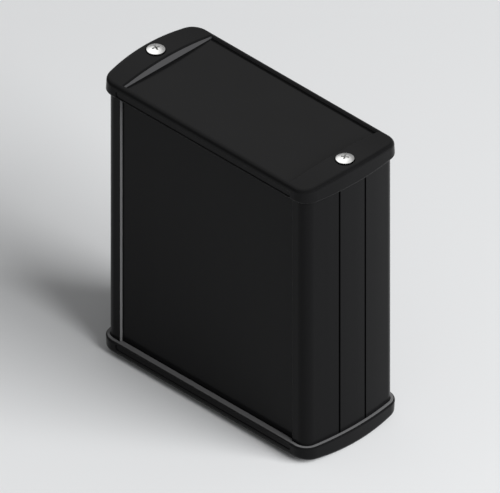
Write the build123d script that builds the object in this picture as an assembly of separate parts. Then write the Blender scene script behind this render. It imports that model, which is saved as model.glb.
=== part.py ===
from build123d import *
import math
import os

# Extruded aluminium enclosure for a circuit board, closed at each end by a moulded cap.
# The extrusion is one tube: bowed short sides, corner posts round two recessed large faces,
# and inside it rows of board slots and two screw channels. Each cap laps over the tube's end,
# rises into a crowned horn at both short sides and is held there by one pan head screw.
# Frame: millimetres, +Z along the extrusion, X across the bowed sides, Y through the thin way,
# origin on the ground under the middle of the part as it stands on its lower cap.

# Extruded body, driving dimensions
body_length = 100.0
body_width = 93.0
body_thick = 39.9
body_corner_r = 3.9
bow_r = 102.0
body_wall = 1.7
cavity_corner_r = 2.0
recess_depth = 0.95
post_width = 7.9
recess_edge_r = 0.25
side_line_spacing = 11.5
side_line_shift = 0.45
side_line_width = 0.75
side_line_depth = 0.8

# Screw channels and board slots inside the body
screw_inset = 4.0
channel_bore_r = 1.3
channel_wall = 1.45
channel_mouth = 1.6
channel_root = 4.4
first_rib_y = 5.6
rib_thick = 1.0
rib_tip_inset = 4.7
slot_width = 1.8
slots_per_corner = 3

# End cap, measured from its edge plane, where the outer wall of the long side ends
cap_lip = 1.4
cap_corner_r = 5.6
fit_gap = 0.15
edge_r = 1.5
skirt_height = 5.0
draft_angle = 3.0
rim_r = 0.7
crown_height = 1.48
pocket_depth = 1.07
pocket_floor = 1.43
pocket_border = 1.55
horn_crest_r = 0.7
horn_wall = 4.7
horn_lean = 15.0

# Grip groove along each long side of the cap, and the locating ribs inside it
groove_top = 2.3
groove_height = 2.05
groove_depth = 0.35
groove_end_r = 0.7
groove_edge_r = 0.25
groove_past_recess = 0.6
locator_length = 56.0
locator_thick = 1.2
locator_depth = 2.0
locator_gap = 0.2

# Pan head screws
head_r = 3.0
head_height = 2.4
head_dome_r = 7.0
head_gap = 0.3
upper_head_rise = 1.1
lower_head_rise = -0.05
shank_r = 1.25
shank_length = 10.0
tip_chamfer = 0.5
screw_hole_gap = 0.45
cross_width = 0.75
cross_r = 1.5
cross_depth = 1.3

# Directions
UP = (0, 0, 1)
DOWN = (0, 0, -1)

# Places worked out from the sizes above
screw_x = body_width / 2 - screw_inset
recess_half = body_width / 2 - post_width
wall_half = body_thick / 2 - recess_depth
cavity_half = wall_half - body_wall
cap_width = body_width + 2 * cap_lip
cap_thick = body_thick + 2 * cap_lip
cap_bow_r = bow_r + cap_lip
groove_half = recess_half + groove_past_recess
groove_middle = groove_top + groove_height / 2
seat_depth = pocket_depth + pocket_floor
lower_edge_z = crown_height
body_base_z = lower_edge_z + seat_depth
upper_edge_z = body_base_z + body_length + seat_depth


def bowed_outline(width, thick, corner_r, side_r):
    """Rounded rectangle whose short sides bow outwards on side_r, tangent all the way round."""
    corner_y = thick / 2 - corner_r
    bow_x = width / 2 - side_r
    corner_x = bow_x + math.sqrt((side_r - corner_r) ** 2 - corner_y ** 2)
    lean = math.atan2(corner_y, corner_x - bow_x)
    half_turn = (lean + math.pi / 2) / 2
    meet_x = bow_x + side_r * math.cos(lean)
    meet_y = side_r * math.sin(lean)
    middle_x = corner_x + corner_r * math.cos(half_turn)
    middle_y = corner_y + corner_r * math.sin(half_turn)
    corner = ThreePointArc((corner_x, thick / 2), (middle_x, middle_y), (meet_x, meet_y))
    bow = ThreePointArc((meet_x, meet_y), (width / 2, 0), (meet_x, -meet_y))
    right = corner + bow + mirror(corner, about=Plane.XZ)
    long_side = Line((corner_x, thick / 2), (-corner_x, thick / 2))
    loop = long_side + right + mirror(long_side, about=Plane.XZ) + mirror(right, about=Plane.YZ)
    return make_face(loop)


def side_surface_x(y):
    """How far out the bowed side of the body lies at height y on the section."""
    return body_width / 2 - bow_r + math.sqrt(bow_r ** 2 - y ** 2)


def recessed_outline(grow):
    """Outside of the body's section, with both large faces recessed, grown by the given gap."""
    outline = bowed_outline(
        body_width + 2 * grow, body_thick + 2 * grow, body_corner_r + grow, bow_r + grow
    )
    step = Rectangle(2 * (recess_half - grow), 2 * recess_depth)
    for side in (-1, 1):
        outline -= Pos(0, side * (body_thick / 2 + grow)) * step
    return outline


def is_recess_edge(vertex):
    """True for the inner and outer corners of the steps beside the recessed faces."""
    return abs(abs(vertex.X) - recess_half) < recess_edge_r


def screw_channel():
    """C-shaped screw channel on the right-hand side wall, as an outline and its opening."""
    boss = Pos(screw_x, 0) * Circle(channel_bore_r + channel_wall)
    root_end = body_width / 2 - body_wall / 2
    root = Pos((screw_x + root_end) / 2, 0) * Rectangle(root_end - screw_x, channel_root)
    bore = Pos(screw_x, 0) * Circle(channel_bore_r)
    mouth_length = channel_bore_r + 2 * channel_wall
    mouth = Pos(screw_x - mouth_length / 2, 0) * Rectangle(mouth_length, channel_mouth)
    return boss + root, bore + mouth


def board_ribs():
    """Ribs on the upper half of the right-hand side wall that form the board slots."""
    ribs = Sketch()
    tip_x = body_width / 2 - rib_tip_inset
    for index in range(slots_per_corner + 1):
        y = first_rib_y + index * (slot_width + rib_thick)
        root_x = side_surface_x(y) - body_wall / 2
        ribs += Pos((tip_x + root_x) / 2, y) * Rectangle(root_x - tip_x, rib_thick)
    return ribs


def body_section():
    """Whole section of the extrusion, the same at both short sides."""
    outline = recessed_outline(0)
    outline = fillet(outline.vertices().filter_by(is_recess_edge), recess_edge_r)
    for x_side in (-1, 1):
        for y_side in (-1, 1):
            y = y_side * side_line_spacing / 2 - side_line_shift
            line = Rectangle(2 * side_line_depth, side_line_width)
            outline -= Pos(x_side * side_surface_x(y), y) * line
    cavity = bowed_outline(
        body_width - 2 * body_wall, 2 * cavity_half, cavity_corner_r, bow_r - body_wall
    )
    channel, opening = screw_channel()
    ribs = board_ribs()
    ribs += mirror(ribs, about=Plane.XZ)
    right = channel + ribs
    section = outline - cavity + right + mirror(right, about=Plane.YZ)
    return section - opening - mirror(opening, about=Plane.YZ)


def extruded_body():
    """The aluminium tube, one extrusion cut to length."""
    return Pos(0, 0, body_base_z) * extrude(body_section(), body_length, dir=UP)


def crowned_block():
    """Solid outside of a cap: drafted skirt, crowned top and the rounded edge between them."""
    spread = skirt_height * math.tan(math.radians(draft_angle))
    rim = bowed_outline(
        cap_width + 2 * spread, cap_thick + 2 * spread, cap_corner_r + spread, cap_bow_r + spread
    )
    full_height = skirt_height + 2 * crown_height
    block = extrude(Pos(0, 0, -skirt_height) * rim, full_height, dir=UP, taper=draft_angle)
    flat_half = cap_thick / 2 - edge_r
    crown_r = (flat_half ** 2 + crown_height ** 2) / (2 * crown_height)
    crown = Rot(0, 90, 0) * Cylinder(crown_r, 2 * cap_width)
    block &= Pos(0, 0, crown_height - crown_r) * crown
    block = fillet(block.faces().sort_by(Axis.Z)[-1].edges(), edge_r)
    return fillet(block.faces().sort_by(Axis.Z)[0].edges(), rim_r)


def pocket():
    """Recess between the horns; its end walls lean outwards, its long walls are upright."""
    run = math.tan(math.radians(horn_lean))
    low, high = -pocket_depth, 2 * crown_height
    foot = screw_x - horn_wall - (crown_height - low) * run
    mouth = foot + (high - low) * run
    profile = Plane.XZ * Polygon(
        (-foot, low), (foot, low), (mouth, high), (-mouth, high), align=None
    )
    return extrude(profile, cap_thick / 2 - pocket_border, both=True)


def body_socket():
    """Space under the cap for the end of the body, with its clearance all round."""
    depth = skirt_height - seat_depth
    return extrude(Pos(0, 0, -seat_depth) * recessed_outline(fit_gap), 2 * depth, dir=DOWN)


def grip_groove():
    """Shallow groove with rounded corners, for the long side at -Y."""
    outline = RectangleRounded(2 * groove_half, groove_height, groove_end_r)
    surface_y = cap_thick / 2 + groove_top * math.tan(math.radians(draft_angle))
    floor = Plane((0, groove_depth - surface_y, -groove_middle), x_dir=(1, 0, 0), z_dir=(0, -1, 0))
    return extrude(floor * outline, 4 * groove_depth)


def is_groove_mouth(edge):
    """True for the edges where a grip groove breaks through the long side of the skirt."""
    centre = edge.center()
    beside = abs(centre.X) <= groove_half and abs(centre.Y) > cap_thick / 2
    return beside and abs(centre.Z + groove_middle) < 0.6 * groove_height


def locator():
    """Rib that reaches into the body and backs its large wall at +Y."""
    y = cavity_half - locator_gap - locator_thick / 2
    bar = RectangleRounded(locator_length, locator_thick, locator_thick / 3)
    return extrude(Pos(0, y, -seat_depth) * bar, locator_depth, dir=DOWN)


def is_horn_crest(edge):
    """True for the two crowned edges where the horns drop into the pocket."""
    centre = edge.center()
    between_screws = screw_x / 2 < abs(centre.X) < screw_x
    return between_screws and abs(centre.Y) < edge_r and centre.Z > 0


def end_cap():
    """Moulded cap in its own frame: edge plane at Z = 0, outside up, body below."""
    cap = crowned_block() - pocket()
    cap = fillet(cap.edges().filter_by(is_horn_crest), horn_crest_r)
    cap -= grip_groove() + Rot(0, 0, 180) * grip_groove()
    cap = fillet(cap.edges().filter_by(is_groove_mouth), groove_edge_r)
    cap -= body_socket()
    for turn in (0, 180):
        cap += Rot(0, 0, turn) * locator()
    return cap


def seat_height(head_rise):
    """Level of the seat under a head whose top stands head_rise above the crown."""
    return crown_height + head_rise - head_height


def screw_seats(head_rise):
    """Counterbore and clearance hole of both screws of a cap."""
    bore = Cylinder(head_r + head_gap, 2 * head_height, align=(Align.CENTER, Align.CENTER, Align.MIN))
    hole = Cylinder(shank_r + screw_hole_gap, 4 * seat_depth)
    seat = Pos(0, 0, seat_height(head_rise)) * bore + hole
    return Pos(screw_x, 0) * seat + Pos(-screw_x, 0) * seat


def pan_head_screw():
    """Screw in its own frame: head seat at Z = 0, head up, shank down."""
    drop = head_dome_r - math.sqrt(head_dome_r ** 2 - head_r ** 2)
    dome_start = head_height - drop
    dome = math.asin(head_r / head_dome_r) / 2
    dome_mid = (
        head_dome_r * math.sin(dome),
        head_height - head_dome_r * (1 - math.cos(dome)),
    )
    outline = Polyline((0, head_height), (0, -shank_length), (shank_r - tip_chamfer, -shank_length))
    outline += Polyline(
        (shank_r - tip_chamfer, -shank_length), (shank_r, tip_chamfer - shank_length),
        (shank_r, 0), (head_r, 0), (head_r, dome_start)
    )
    outline += ThreePointArc((head_r, dome_start), dome_mid, (0, head_height))
    screw = revolve(Plane.XZ * make_face(outline), Axis.Z)
    return screw - Pos(0, 0, head_height) * cross_recess()


def cross_recess():
    """Cross-shaped driver recess that narrows towards its foot, top at Z = 0."""
    foot_r = cross_width / 2
    cone = Cone(foot_r, cross_r, cross_depth, align=(Align.CENTER, Align.CENTER, Align.MAX))
    arm = Box(2 * cross_r, cross_width, 2 * cross_depth)
    return cone & (arm + Rot(0, 0, 90) * arm)


def build():
    """Every node of the enclosure by name."""
    nodes = {"extruded_body": extruded_body()}
    cap = end_cap()
    screw = pan_head_screw()
    ends = (
        ("top", Pos(0, 0, upper_edge_z), upper_head_rise),
        ("bottom", Pos(0, 0, lower_edge_z) * Rot(180, 0, 0), lower_head_rise),
    )
    for end, place, head_rise in ends:
        nodes[f"{end}_cap"] = place * (cap - screw_seats(head_rise))
        for side, x in (("left", -screw_x), ("right", screw_x)):
            nodes[f"{end}_screw_{side}"] = place * Pos(x, 0, seat_height(head_rise)) * screw
    return nodes


os.makedirs("parts", exist_ok=True)
for name, solid in build().items():
    export_step(solid, f"parts/{name}.step")
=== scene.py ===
"""Dressed view of an extruded aluminium enclosure with moulded end caps.

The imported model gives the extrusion, the two caps and the places of the four screws. This add-on
gives the extrusion and the caps their finishes, models the pan head screws in full and sets up a
plain studio round them. Lengths are in metres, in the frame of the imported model.
"""

import math

import bpy
from bpy.props import FloatProperty, FloatVectorProperty, IntProperty, PointerProperty
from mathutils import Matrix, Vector


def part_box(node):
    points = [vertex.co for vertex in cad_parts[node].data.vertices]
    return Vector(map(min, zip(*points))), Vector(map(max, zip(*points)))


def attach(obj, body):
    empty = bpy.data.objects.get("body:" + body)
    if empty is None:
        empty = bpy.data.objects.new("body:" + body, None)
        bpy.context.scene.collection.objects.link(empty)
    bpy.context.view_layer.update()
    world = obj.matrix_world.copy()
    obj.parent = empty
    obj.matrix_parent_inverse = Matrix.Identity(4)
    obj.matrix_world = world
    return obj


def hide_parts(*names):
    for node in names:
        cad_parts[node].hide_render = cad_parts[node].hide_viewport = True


bl_info = {
    "name": "Extruded Enclosure",
    "version": (1, 0, 0),
    "blender": (4, 5, 0),
    "location": "View3D > Sidebar > Enclosure",
    "description": "Finishes, screws and studio for an extruded aluminium enclosure",
    "category": "Object",
}

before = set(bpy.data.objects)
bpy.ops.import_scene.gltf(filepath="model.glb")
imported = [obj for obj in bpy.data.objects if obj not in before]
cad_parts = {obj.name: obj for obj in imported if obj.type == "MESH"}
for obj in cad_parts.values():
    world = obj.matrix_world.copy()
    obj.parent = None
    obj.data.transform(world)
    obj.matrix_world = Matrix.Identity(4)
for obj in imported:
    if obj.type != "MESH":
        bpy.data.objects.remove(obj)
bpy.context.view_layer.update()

SCREW_NODES = ("top_screw_left", "top_screw_right", "bottom_screw_left", "bottom_screw_right")
CAP_NODES = ("top_cap", "bottom_cap")
BODY_NODE = "extruded_body"

# Half the width of the recessed faces, and just inside their floor
RECESS_HALF = 0.0386
RECESS_FLOOR = 0.0189

# Just past the walls round a cap's pocket, and just above its floor, from the extrusion's end
POCKET_HALF_WIDTH = 0.038
POCKET_HALF_DEPTH = 0.01985
POCKET_FLOOR = 0.00145

# Normals within this much of level belong to walls
WALL_LEAN = 0.4

# How strongly the black surfaces reflect, and how closely vertices are welded
BLACK_SPECULAR = 0.06
WELD = 1e-6


def box_size(node):
    """Lengths of a node's box along X, Y and Z."""
    low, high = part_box(node)
    return high - low


class BodyFinish(bpy.types.PropertyGroup):
    """Black anodised finish of the extrusion."""

    color: FloatVectorProperty(
        name="Dye", description="Colour of the anodised skin", subtype="COLOR",
        size=3, min=0, max=1, default=(0.0055, 0.0055, 0.0058),
    )
    # Painted highlight: the step walls' paler colour stands in for the light they catch. It is not
    # a different anodised skin.
    painted_step_highlight: FloatVectorProperty(
        name="Step walls", description="Paler skin on the low walls beside the recessed faces",
        subtype="COLOR", size=3, min=0, max=1, default=(0.2, 0.2, 0.203),
    )
    step_reach: FloatProperty(
        name="Step reach", description="How far the paler skin reaches to each side of those walls",
        unit="LENGTH", min=0, default=0.00009,
    )
    roughness: FloatProperty(
        name="Roughness", description="How matt the anodised skin is",
        subtype="FACTOR", min=0, max=1, default=0.2,
    )
    die_line_width: FloatProperty(
        name="Die line width", description="Width of the faint lines that run along the extrusion",
        unit="LENGTH", min=0, default=0.0009,
    )


class CapFinish(bpy.types.PropertyGroup):
    """Black moulded finish of the end caps."""

    color: FloatVectorProperty(
        name="Plastic", description="Colour of the moulded plastic", subtype="COLOR",
        size=3, min=0, max=1, default=(0.0065, 0.0065, 0.0068),
    )
    # Painted highlight: the land is where the mould's halves close, but it is the same black
    # plastic. Its paler colour stands in for the light the narrow land catches.
    painted_land_highlight: FloatVectorProperty(
        name="Rim land", description="Paler face of the rim, where the mould's halves close",
        subtype="COLOR", size=3, min=0, max=1, default=(0.15, 0.15, 0.153),
    )
    land_reach: FloatProperty(
        name="Land reach", description="How far the paler tone reaches above and below the land",
        unit="LENGTH", min=0, default=0.00003,
    )
    # Painted highlight: the pocket walls' paler colour stands in for the light they catch. The
    # plastic there is the same black.
    painted_wall_highlight: FloatVectorProperty(
        name="Pocket walls", description="Paler walls round the pocket between the horns",
        subtype="COLOR", size=3, min=0, max=1, default=(0.06, 0.06, 0.062),
    )
    roughness: FloatProperty(
        name="Roughness", description="How matt the moulded surface is",
        subtype="FACTOR", min=0, max=1, default=0.17,
    )
    grain: FloatProperty(
        name="Grain", description="Size of the fine texture that the mould leaves",
        unit="LENGTH", min=0, default=0.00025,
    )


class ScrewSizes(bpy.types.PropertyGroup):
    """Sizes of the pan head screws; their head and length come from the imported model."""

    head_height: FloatProperty(
        name="Head height", description="Height of the head above its seat",
        unit="LENGTH", min=0, default=0.0024,
    )
    dome_radius: FloatProperty(
        name="Dome radius", description="Radius of the head's domed top",
        unit="LENGTH", min=0, default=0.007,
    )
    root_radius: FloatProperty(
        name="Root radius", description="Radius of the shank at the foot of the thread",
        unit="LENGTH", min=0, default=0.00118,
    )
    crest_radius: FloatProperty(
        name="Crest radius", description="Radius of the thread's crest",
        unit="LENGTH", min=0, default=0.00148,
    )
    pitch: FloatProperty(
        name="Pitch", description="Distance from one turn of the thread to the next",
        unit="LENGTH", min=0, default=0.00106,
    )
    recess_reach: FloatProperty(
        name="Recess reach", description="Reach of the cross recess's arms from the screw's axis",
        unit="LENGTH", min=0, default=0.00155,
    )
    recess_width: FloatProperty(
        name="Recess width", description="Width of the cross recess's arms at the top",
        unit="LENGTH", min=0, default=0.00072,
    )
    recess_depth: FloatProperty(
        name="Recess depth", description="Depth of the cross recess below the top of the head",
        unit="LENGTH", min=0, default=0.00135,
    )
    segments: IntProperty(
        name="Segments", description="Faces round the screw", min=16, max=128, default=64,
    )


class StudioSettings(bpy.types.PropertyGroup):
    """Floor, lamp, backdrop and camera."""

    floor_radius: FloatProperty(
        name="Floor radius", description="Radius of the round floor",
        unit="LENGTH", min=0, default=3.0,
    )
    floor_color: FloatVectorProperty(
        name="Floor", description="Colour of the floor", subtype="COLOR",
        size=3, min=0, max=1, default=(0.82, 0.83, 0.84),
    )
    world_level: FloatProperty(
        name="World level", description="Brightness of the even light from all round",
        min=0, default=0.22,
    )
    backdrop_level: FloatProperty(
        name="Backdrop level", description="Brightness of the backdrop behind the floor",
        min=0, default=0.75,
    )
    sky_low: FloatProperty(
        name="Low backdrop", description="Brightness that reflections show away from the glow",
        min=0, default=0.36,
    )
    sky_high: FloatProperty(
        name="High backdrop", description="Brightness that reflections show at the glow",
        min=0, default=1.6,
    )
    glow_azimuth: FloatProperty(
        name="Glow azimuth", description="Direction of the backdrop's brightest place",
        subtype="ANGLE", default=math.radians(170),
    )
    glow_elevation: FloatProperty(
        name="Glow elevation", description="Height of the backdrop's brightest place",
        subtype="ANGLE", default=math.radians(60),
    )
    glow_reach: FloatProperty(
        name="Glow reach", description="Angle at which the backdrop's glow has faded",
        subtype="ANGLE", default=math.radians(54),
    )
    key_power: FloatProperty(
        name="Key power", description="Power of the key lamp", unit="POWER", min=0, default=80.0,
    )
    key_azimuth: FloatProperty(
        name="Key azimuth", description="Direction of the key lamp from X towards Y",
        subtype="ANGLE", default=math.radians(9),
    )
    key_elevation: FloatProperty(
        name="Key elevation", description="Height of the key lamp above the horizon",
        subtype="ANGLE", default=math.radians(32),
    )
    key_distance: FloatProperty(
        name="Key distance", description="Distance of the key lamp from the object",
        unit="LENGTH", min=0, default=2.2,
    )
    key_size: FloatProperty(
        name="Key size", description="Side of the square key lamp",
        unit="LENGTH", min=0, default=1.8,
    )
    frame_width: FloatProperty(
        name="Frame width", description="Width of what the camera shows",
        unit="LENGTH", min=0, default=0.15893,
    )
    aim_side: FloatProperty(
        name="Aim aside", description="How far right of the middle the camera aims",
        unit="LENGTH", default=-0.000127,
    )
    aim_up: FloatProperty(
        name="Aim up", description="How far above the middle the camera aims",
        unit="LENGTH", default=-0.001017,
    )
    camera_distance: FloatProperty(
        name="Camera distance", description="Distance of the camera from what it aims at",
        unit="LENGTH", min=0, default=0.8,
    )


def new_material(name):
    """Material with its shader, and the links and nodes to build on."""
    material = bpy.data.materials.new(name)
    material.use_nodes = True
    nodes = material.node_tree.nodes
    return material, nodes, material.node_tree.links, nodes["Principled BSDF"]


def noise(nodes, links, scale, detail, rough=0.5):
    """Noise on object coordinates, stretched by one scale for each axis."""
    place = nodes.new("ShaderNodeTexCoord")
    mapping = nodes.new("ShaderNodeMapping")
    mapping.inputs["Scale"].default_value = scale
    texture = nodes.new("ShaderNodeTexNoise")
    texture.inputs["Scale"].default_value = 1.0
    texture.inputs["Detail"].default_value = detail
    texture.inputs["Roughness"].default_value = rough
    links.new(place.outputs["Object"], mapping.inputs["Vector"])
    links.new(mapping.outputs["Vector"], texture.inputs["Vector"])
    return texture.outputs["Fac"]


def spread(nodes, links, source, low, high):
    """Noise spread over a range, centred on its middle values."""
    node = nodes.new("ShaderNodeMapRange")
    node.inputs["From Min"].default_value = 0.3
    node.inputs["From Max"].default_value = 0.7
    node.inputs["To Min"].default_value = low
    node.inputs["To Max"].default_value = high
    links.new(source, node.inputs["Value"])
    return node.outputs["Result"]


def tint(nodes, links, source, dark, light):
    """Colour that goes from dark to light with a noise value."""
    ramp = nodes.new("ShaderNodeValToRGB")
    ramp.color_ramp.elements[0].position = 0.3
    ramp.color_ramp.elements[0].color = (*dark, 1)
    ramp.color_ramp.elements[1].position = 0.7
    ramp.color_ramp.elements[1].color = (*light, 1)
    links.new(source, ramp.inputs["Fac"])
    return ramp.outputs["Color"]


def bump(nodes, links, height, distance, strength, under=None):
    """Bump from a height, over another bump where one is given."""
    node = nodes.new("ShaderNodeBump")
    node.inputs["Distance"].default_value = distance
    node.inputs["Strength"].default_value = strength
    links.new(height, node.inputs["Height"])
    if under:
        links.new(under, node.inputs["Normal"])
    return node.outputs["Normal"]


def feed(links, sockets, terms):
    """Gives sockets their terms, which are numbers or other nodes' values."""
    for socket, term in zip(sockets, terms):
        if isinstance(term, (int, float)):
            socket.default_value = term
        else:
            links.new(term, socket)


def calculate(nodes, links, operation, *terms):
    """Result of a calculation whose terms are numbers or other nodes' values."""
    node = nodes.new("ShaderNodeMath")
    node.operation = operation
    feed(links, node.inputs, terms)
    return node.outputs["Value"]


def choose(nodes, links, mask, off, on):
    """One value where the mask is 0 and another where it is 1."""
    node = nodes.new("ShaderNodeMix")
    feed(links, (node.inputs["Factor"], node.inputs["A"], node.inputs["B"]), (mask, off, on))
    return node.outputs["Result"]


def every(nodes, links, masks):
    """Mask that is 1 where all of the masks are."""
    result = masks[0]
    for mask in masks[1:]:
        result = calculate(nodes, links, "MULTIPLY", result, mask)
    return result


def distances(nodes, links, output, middle):
    """Distances along X, Y and Z of a texture coordinate from a middle point."""
    place = nodes.new("ShaderNodeTexCoord")
    parts = nodes.new("ShaderNodeSeparateXYZ")
    links.new(place.outputs[output], parts.inputs["Vector"])
    found = []
    for axis, start in zip("XYZ", middle):
        offset = calculate(nodes, links, "SUBTRACT", parts.outputs[axis], start)
        found.append(calculate(nodes, links, "ABSOLUTE", offset))
    return found


def blend(nodes, links, mask, color, over):
    """Colour with another laid over it where the mask is 1."""
    node = nodes.new("ShaderNodeMix")
    node.data_type = "RGBA"
    links.new(mask, node.inputs["Factor"])
    links.new(color, node.inputs[6])
    node.inputs[7].default_value = (*over, 1)
    return node.outputs[2]


def shade(color, factor):
    """Colour made lighter or darker."""
    return tuple(channel * factor for channel in color)


def anodised_black(finish):
    """Satin black anodised aluminium with faint die lines along the extrusion."""
    material, nodes, links, shader = new_material("anodised_black")
    across = 1 / finish.die_line_width
    lines = noise(nodes, links, scale=(across, across, 3.0), detail=4.0)
    grain = noise(nodes, links, scale=(9000.0, 9000.0, 9000.0), detail=2.0)
    color = tint(nodes, links, lines, shade(finish.color, 0.95), shade(finish.color, 1.05))
    x, y, z = distances(nodes, links, "Object", (0, 0, 0))
    # Painted highlight: a narrow band round each step wall beside the recessed faces gets a paler
    # colour in place of the light it catches.
    step = every(nodes, links, (
        calculate(nodes, links, "COMPARE", x, RECESS_HALF, finish.step_reach),
        calculate(nodes, links, "GREATER_THAN", y, RECESS_FLOOR),
    ))
    links.new(blend(nodes, links, step, color, finish.painted_step_highlight), shader.inputs["Base Color"])
    links.new(
        spread(nodes, links, lines, finish.roughness - 0.01, finish.roughness + 0.01),
        shader.inputs["Roughness"],
    )
    relief = bump(nodes, links, lines, distance=0.00001, strength=0.03)
    relief = bump(nodes, links, grain, distance=0.000004, strength=0.12, under=relief)
    links.new(relief, shader.inputs["Normal"])
    shader.inputs["Specular IOR Level"].default_value = BLACK_SPECULAR
    return material


def moulded_black(finish):
    """Low-sheen black plastic with the fine texture of its mould."""
    material, nodes, links, shader = new_material("moulded_black")
    size = 1 / finish.grain
    grain = noise(nodes, links, scale=(size, size, size), detail=3.0, rough=0.6)
    flow = noise(nodes, links, scale=(45.0, 60.0, 60.0), detail=3.0)
    color = tint(nodes, links, flow, shade(finish.color, 0.9), shade(finish.color, 1.1))
    low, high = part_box(BODY_NODE)
    middle = (low + high) / 2
    x, y, z = distances(nodes, links, "Object", middle)
    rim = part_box("top_cap")[0].z - middle.z
    # Painted highlight: a thin band at the height of the rim land gets a paler colour in place of
    # the light it catches.
    land = calculate(nodes, links, "COMPARE", z, rim, finish.land_reach)
    color = blend(nodes, links, land, color, finish.painted_land_highlight)
    lean = distances(nodes, links, "Normal", (0, 0, 0))[2]
    # Painted highlight: the near-upright walls round the pocket get a paler colour in place of the
    # light they catch.
    wall = every(nodes, links, (
        calculate(nodes, links, "LESS_THAN", x, POCKET_HALF_WIDTH),
        calculate(nodes, links, "LESS_THAN", y, POCKET_HALF_DEPTH),
        calculate(nodes, links, "GREATER_THAN", z, high.z - middle.z + POCKET_FLOOR),
        calculate(nodes, links, "LESS_THAN", lean, WALL_LEAN),
    ))
    links.new(blend(nodes, links, wall, color, finish.painted_wall_highlight), shader.inputs["Base Color"])
    links.new(
        spread(nodes, links, flow, finish.roughness - 0.03, finish.roughness + 0.03),
        shader.inputs["Roughness"],
    )
    relief = bump(nodes, links, grain, distance=0.000008, strength=0.15)
    links.new(relief, shader.inputs["Normal"])
    shader.inputs["Specular IOR Level"].default_value = BLACK_SPECULAR
    return material


def plated_steel():
    """Bright nickel plate with fine turning marks and a slightly cloudy gloss."""
    material, nodes, links, shader = new_material("plated_steel")
    cloud = noise(nodes, links, scale=(900.0, 900.0, 900.0), detail=3.0)
    color = tint(nodes, links, cloud, dark=(0.62, 0.62, 0.61), light=(0.8, 0.8, 0.79))
    links.new(color, shader.inputs["Base Color"])
    links.new(spread(nodes, links, cloud, low=0.2, high=0.32), shader.inputs["Roughness"])
    marks = noise(nodes, links, scale=(6000.0, 6000.0, 6000.0), detail=2.0)
    relief = bump(nodes, links, marks, distance=0.000006, strength=0.2)
    links.new(relief, shader.inputs["Normal"])
    shader.inputs["Metallic"].default_value = 1.0
    return material


def dress(node, material):
    """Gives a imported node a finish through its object's material slots."""
    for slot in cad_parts[node].material_slots:
        slot.link = "OBJECT"
        slot.material = material


def clear_selection():
    """Object mode with nothing selected."""
    if bpy.context.object and bpy.context.object.mode != "OBJECT":
        bpy.ops.object.mode_set(mode="OBJECT")
    bpy.ops.object.select_all(action="DESELECT")


def start_point(name, point):
    """New piece in edit mode that is one vertex at the given point."""
    clear_selection()
    bpy.ops.mesh.primitive_plane_add(size=0.001)
    piece = bpy.context.object
    piece.name = name
    piece.data.name = name
    bpy.ops.object.mode_set(mode="EDIT")
    bpy.ops.mesh.merge(type="CENTER")
    bpy.ops.transform.translate(value=point)
    return piece


def trace(points):
    """Extrudes the selected vertex along a profile in the XZ plane."""
    for start, end in zip(points, points[1:]):
        step = (end[0] - start[0], 0, end[1] - start[1])
        bpy.ops.mesh.extrude_region_move(TRANSFORM_OT_translate={"value": step})


def turned(name, profile, segments):
    """Closed piece turned about the Z axis from a profile of (radius, height) points."""
    piece = start_point(name, (profile[0][0], 0, profile[0][1]))
    trace(profile)
    bpy.ops.mesh.select_all(action="SELECT")
    bpy.ops.mesh.spin(steps=segments, angle=math.tau, center=(0, 0, 0), axis=(0, 0, 1))
    bpy.ops.mesh.select_all(action="SELECT")
    bpy.ops.mesh.remove_doubles(threshold=WELD)
    bpy.ops.mesh.normals_make_consistent(inside=False)
    bpy.ops.object.mode_set(mode="OBJECT")
    return piece


def make_active(piece):
    """Selects one piece and makes it the active one."""
    clear_selection()
    piece.select_set(True)
    bpy.context.view_layer.objects.active = piece


def combine(piece, tool, operation):
    """Cuts a tool out of a piece or joins it on, then removes the tool."""
    make_active(piece)
    modifier = piece.modifiers.new("combine", "BOOLEAN")
    modifier.operation = operation
    modifier.solver = "EXACT"
    modifier.object = tool
    bpy.ops.object.modifier_apply(modifier=modifier.name)
    bpy.data.objects.remove(tool, do_unlink=True)


def select_vertices(piece, wanted):
    """In edit mode, selects the vertices whose place passes a test."""
    bpy.ops.mesh.select_mode(type="VERT")
    bpy.ops.mesh.select_all(action="DESELECT")
    bpy.ops.object.mode_set(mode="OBJECT")
    for vertex in piece.data.vertices:
        vertex.select = wanted(vertex.co)
    bpy.ops.object.mode_set(mode="EDIT")


def head_profile(sizes, head_radius, length):
    """Pan head, plain shank and chamfered tip, from the top of the axis down to its foot."""
    edge = math.asin(head_radius / sizes.dome_radius)
    arc_steps = 12
    points = []
    for index in range(arc_steps + 1):
        angle = edge * index / arc_steps
        drop = sizes.dome_radius * (1 - math.cos(angle))
        points.append((sizes.dome_radius * math.sin(angle), sizes.head_height - drop))
    foot = sizes.head_height - length
    rim_bevel = 0.00025
    neck_bevel = 0.0002
    tip_bevel = 0.0005
    points += [
        (head_radius, rim_bevel),
        (head_radius - rim_bevel, 0),
        (sizes.root_radius + neck_bevel, 0),
        (sizes.root_radius, -neck_bevel),
        (sizes.root_radius, foot + tip_bevel),
        (sizes.root_radius - tip_bevel, foot),
        (0, foot),
    ]
    return points


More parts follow.
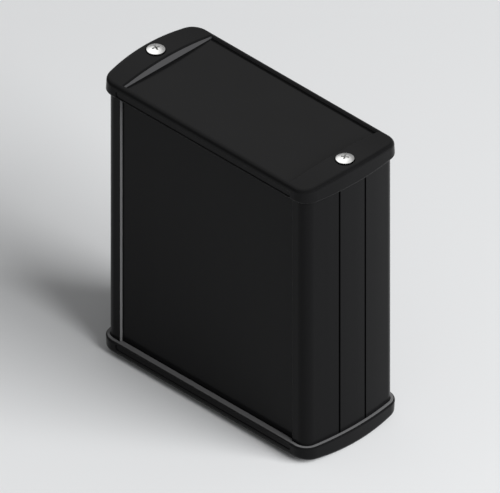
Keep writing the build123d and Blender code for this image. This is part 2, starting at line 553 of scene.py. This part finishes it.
def cross_cutter(sizes):
    """Cutter for the cross recess: a centre with four arms, all tapering to a point."""
    width = sizes.recess_width
    taper = 0.42
    point_depth = 0.2 * sizes.recess_depth
    top = sizes.head_height + 0.0002
    bottom = sizes.head_height - sizes.recess_depth + point_depth
    clear_selection()
    bpy.ops.mesh.primitive_cube_add(size=1)
    cutter = bpy.context.object
    cutter.name = "cross_cutter"
    bpy.ops.transform.resize(value=(width, width, top - bottom))
    bpy.ops.transform.translate(value=(0, 0, (top + bottom) / 2))
    bpy.ops.object.transform_apply(location=True, rotation=True, scale=True)
    bpy.ops.object.mode_set(mode="EDIT")
    bpy.ops.mesh.select_mode(type="FACE")
    bpy.ops.mesh.select_all(action="DESELECT")
    bpy.ops.object.mode_set(mode="OBJECT")
    for face in cutter.data.polygons:
        face.select = abs(face.normal.z) < 0.5
    bpy.ops.object.mode_set(mode="EDIT")
    bpy.ops.mesh.extrude_faces_move(
        TRANSFORM_OT_shrink_fatten={"value": sizes.recess_reach - width / 2}
    )
    select_vertices(cutter, lambda place: place.z < (top + bottom) / 2)
    bpy.ops.transform.resize(value=(taper, taper, 1), center_override=(0, 0, bottom))
    bpy.ops.mesh.select_mode(type="FACE")
    bpy.ops.mesh.select_all(action="DESELECT")
    bpy.ops.object.mode_set(mode="OBJECT")
    for face in cutter.data.polygons:
        middle = face.center
        face.select = face.normal.z < -0.9 and math.hypot(middle.x, middle.y) < width / 4
    bpy.ops.object.mode_set(mode="EDIT")
    bpy.ops.mesh.extrude_region_move(TRANSFORM_OT_translate={"value": (0, 0, -point_depth)})
    bpy.ops.mesh.merge(type="CENTER")
    bpy.ops.mesh.select_all(action="SELECT")
    bpy.ops.mesh.normals_make_consistent(inside=False)
    bpy.ops.object.mode_set(mode="OBJECT")
    return cutter


def thread_ridge(sizes, length):
    """Closed helical ridge of the thread, to be joined to the plain shank."""
    foot = sizes.head_height - length
    start_z = foot + 0.0007
    plain_neck = 0.0015
    turns = int((-plain_neck - start_z) / sizes.pitch)
    half_base = 0.34 * sizes.pitch
    half_crest = 0.15 * half_base
    sunk = sizes.root_radius - 0.00012
    section = [
        (sunk, start_z),
        (sizes.crest_radius, start_z + half_base - half_crest),
        (sizes.crest_radius, start_z + half_base + half_crest),
        (sunk, start_z + 2 * half_base),
    ]
    ridge = start_point("thread_ridge", (section[0][0], 0, section[0][1]))
    trace(section)
    bpy.ops.mesh.select_all(action="SELECT")
    bpy.ops.mesh.edge_face_add()
    bpy.ops.object.mode_set(mode="OBJECT")
    make_active(ridge)
    modifier = ridge.modifiers.new("wind", "SCREW")
    modifier.axis = "Z"
    modifier.angle = math.tau
    modifier.screw_offset = sizes.pitch
    modifier.iterations = turns
    modifier.steps = 32
    modifier.render_steps = 32
    bpy.ops.object.modifier_apply(modifier=modifier.name)
    bpy.ops.object.mode_set(mode="EDIT")
    bpy.ops.mesh.select_all(action="SELECT")
    bpy.ops.mesh.remove_doubles(threshold=WELD / 10)
    bpy.ops.mesh.fill_holes(sides=6)
    bpy.ops.mesh.select_all(action="SELECT")
    bpy.ops.mesh.normals_make_consistent(inside=False)
    bpy.ops.object.mode_set(mode="OBJECT")
    return ridge


def pan_head_screw(sizes):
    """One screw on the Z axis with its seat at Z = 0."""
    spans = box_size(SCREW_NODES[0])
    screw = turned("pan_head_screw", head_profile(sizes, spans.x / 2, spans.z), sizes.segments)
    combine(screw, thread_ridge(sizes, spans.z), "UNION")
    combine(screw, cross_cutter(sizes), "DIFFERENCE")
    make_active(screw)
    bpy.ops.object.shade_smooth_by_angle(angle=math.radians(32))
    return screw


def place_screw(model, node, turn, sizes):
    """Copy of the screw at the place of a packed one, with its recess turned."""
    make_active(model)
    bpy.ops.object.duplicate()
    screw = bpy.context.object
    screw.name = node.replace("_screw_", "_pan_head_")
    screw.data.name = screw.name
    low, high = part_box(node)
    middle = (low + high) / 2
    bpy.ops.transform.rotate(value=turn, orient_axis="Z", center_override=(0, 0, 0))
    if node.startswith("top"):
        seat = high.z - sizes.head_height
    else:
        bpy.ops.transform.rotate(value=math.pi, orient_axis="X", center_override=(0, 0, 0))
        seat = low.z + sizes.head_height
    bpy.ops.transform.translate(value=(middle.x, middle.y, seat))
    bpy.ops.object.transform_apply(location=True, rotation=True, scale=True)
    return screw


def direction(azimuth, elevation):
    """Unit vector at an angle from X towards Y and at a height above the horizon."""
    level = math.cos(elevation)
    return Vector((
        math.cos(azimuth) * level, math.sin(azimuth) * level, math.sin(elevation)
    ))


def studio_floor(settings):
    """Large round floor at the foot of the object."""
    clear_selection()
    bpy.ops.mesh.primitive_circle_add(
        vertices=96, radius=settings.floor_radius, fill_type="NGON", location=(0, 0, 0)
    )
    floor = bpy.context.object
    floor.name = "floor"
    material, nodes, links, shader = new_material("floor_paper")
    shader.inputs["Base Color"].default_value = (*settings.floor_color, 1)
    shader.inputs["Roughness"].default_value = 0.9
    shader.inputs["Specular IOR Level"].default_value = 0.1
    floor.data.materials.append(material)
    return floor


def soft_lamp(name, place, aim, size, power):
    """Square area lamp that points at the aim and that reflections don't show."""
    clear_selection()
    bpy.ops.object.light_add(type="AREA", location=place)
    lamp = bpy.context.object
    lamp.name = name
    lamp.data.shape = "SQUARE"
    lamp.data.size = size
    lamp.data.energy = power
    lamp.visible_glossy = False
    lamp.rotation_mode = "QUATERNION"
    lamp.rotation_quaternion = (aim - place).to_track_quat("-Z", "Y")
    return lamp


def studio_camera(settings, middle):
    """Level-sided isometric camera, as a drawing program shows such a part."""
    azimuth = math.radians(45)
    elevation = math.atan(1 / math.sqrt(2))
    back = Vector((
        math.sin(azimuth) * math.cos(elevation),
        -math.cos(azimuth) * math.cos(elevation),
        math.sin(elevation),
    ))
    side = Vector((math.cos(azimuth), math.sin(azimuth), 0))
    up = back.cross(side)
    aim = middle + settings.aim_side * side + settings.aim_up * up
    clear_selection()
    bpy.ops.object.camera_add(location=aim + settings.camera_distance * back)
    camera = bpy.context.object
    camera.data.type = "ORTHO"
    camera.data.ortho_scale = settings.frame_width
    camera.data.clip_start = 0.01
    camera.data.clip_end = 20
    camera.rotation_mode = "QUATERNION"
    camera.rotation_quaternion = (-back).to_track_quat("-Z", "Y")
    bpy.context.scene.camera = camera
    return camera


def studio_world(settings):
    """Even light from all round, a pale backdrop and a soft glow that reflections show."""
    world = bpy.data.worlds.new("studio")
    world.use_nodes = True
    nodes, links = world.node_tree.nodes, world.node_tree.links
    place = nodes.new("ShaderNodeTexCoord")
    facing = nodes.new("ShaderNodeVectorMath")
    facing.operation = "DOT_PRODUCT"
    facing.inputs[1].default_value = direction(settings.glow_azimuth, settings.glow_elevation)
    links.new(place.outputs["Generated"], facing.inputs[0])
    backdrop = nodes.new("ShaderNodeMapRange")
    backdrop.interpolation_type = "SMOOTHSTEP"
    backdrop.inputs["From Min"].default_value = math.cos(settings.glow_reach)
    backdrop.inputs["From Max"].default_value = 1
    backdrop.inputs["To Min"].default_value = settings.sky_low
    backdrop.inputs["To Max"].default_value = settings.sky_high
    links.new(facing.outputs["Value"], backdrop.inputs["Value"])
    path = nodes.new("ShaderNodeLightPath")
    mirrored = calculate(
        nodes, links, "MAXIMUM", path.outputs["Is Glossy Ray"], path.outputs["Is Transmission Ray"]
    )
    lit = choose(nodes, links, mirrored, settings.world_level, backdrop.outputs["Result"])
    seen = choose(nodes, links, path.outputs["Is Camera Ray"], lit, settings.backdrop_level)
    background = nodes["Background"]
    background.inputs["Color"].default_value = (1, 1, 1, 1)
    links.new(seen, background.inputs["Strength"])
    bpy.context.scene.world = world


class ENCLOSURE_OT_finish_body(bpy.types.Operator):
    """Gives the extrusion its black anodised finish"""

    bl_idname = "enclosure.finish_body"
    bl_label = "Finish Extrusion"

    def execute(self, context):
        dress(BODY_NODE, anodised_black(context.scene.enclosure_body))
        return {"FINISHED"}


class ENCLOSURE_OT_finish_caps(bpy.types.Operator):
    """Gives both end caps their moulded finish"""

    bl_idname = "enclosure.finish_caps"
    bl_label = "Finish End Caps"

    def execute(self, context):
        material = moulded_black(context.scene.enclosure_caps)
        for node in CAP_NODES:
            dress(node, material)
        return {"FINISHED"}


class ENCLOSURE_OT_add_screws(bpy.types.Operator):
    """Models the pan head screw and puts a copy in each end of both caps"""

    bl_idname = "enclosure.add_screws"
    bl_label = "Add Screws"

    def execute(self, context):
        sizes = context.scene.enclosure_screws
        model = pan_head_screw(sizes)
        material = plated_steel()
        model.data.materials.clear()
        model.data.materials.append(material)
        turns = (0.35, 1.02, 0.8, 0.15)
        for node, turn in zip(SCREW_NODES, turns):
            screw = place_screw(model, node, turn, sizes)
            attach(screw, "root")
            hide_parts(node)
        bpy.data.objects.remove(model, do_unlink=True)
        return {"FINISHED"}


class ENCLOSURE_OT_add_studio(bpy.types.Operator):
    """Adds the pale floor, the soft lamp, the backdrop and the camera"""

    bl_idname = "enclosure.add_studio"
    bl_label = "Add Studio"

    def execute(self, context):
        settings = context.scene.enclosure_studio
        low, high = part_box(BODY_NODE)
        middle = (low + high) / 2
        studio_floor(settings)
        key_side = direction(settings.key_azimuth, settings.key_elevation)
        key_place = middle + settings.key_distance * key_side
        soft_lamp("key_lamp", key_place, middle, settings.key_size, settings.key_power)
        studio_world(settings)
        studio_camera(settings, middle)
        context.scene.view_settings.view_transform = "Standard"
        return {"FINISHED"}


class ENCLOSURE_PT_panel(bpy.types.Panel):
    """Lists the enclosure's operators and settings"""

    bl_label = "Enclosure"
    bl_idname = "ENCLOSURE_PT_panel"
    bl_space_type = "VIEW_3D"
    bl_region_type = "UI"
    bl_category = "Enclosure"

    def draw(self, context):
        layout = self.layout
        for name, group in GROUPS.items():
            settings = getattr(context.scene, name)
            column = layout.box().column()
            for prop in group.__annotations__:
                column.prop(settings, prop)
        for operator in OPERATORS:
            layout.operator(operator.bl_idname)


GROUPS = {
    "enclosure_body": BodyFinish,
    "enclosure_caps": CapFinish,
    "enclosure_screws": ScrewSizes,
    "enclosure_studio": StudioSettings,
}
OPERATORS = (
    ENCLOSURE_OT_finish_body,
    ENCLOSURE_OT_finish_caps,
    ENCLOSURE_OT_add_screws,
    ENCLOSURE_OT_add_studio,
)


def register():
    for group in GROUPS.values():
        bpy.utils.register_class(group)
    for operator in OPERATORS:
        bpy.utils.register_class(operator)
    bpy.utils.register_class(ENCLOSURE_PT_panel)
    for name, group in GROUPS.items():
        setattr(bpy.types.Scene, name, PointerProperty(type=group))


def unregister():
    for name in GROUPS:
        delattr(bpy.types.Scene, name)
    bpy.utils.unregister_class(ENCLOSURE_PT_panel)
    for operator in reversed(OPERATORS):
        bpy.utils.unregister_class(operator)
    for group in reversed(list(GROUPS.values())):
        bpy.utils.unregister_class(group)


def main():
    register()
    bpy.ops.enclosure.finish_body()
    bpy.ops.enclosure.finish_caps()
    bpy.ops.enclosure.add_screws()
    bpy.ops.enclosure.add_studio()


if __name__ == "__main__":
    main()
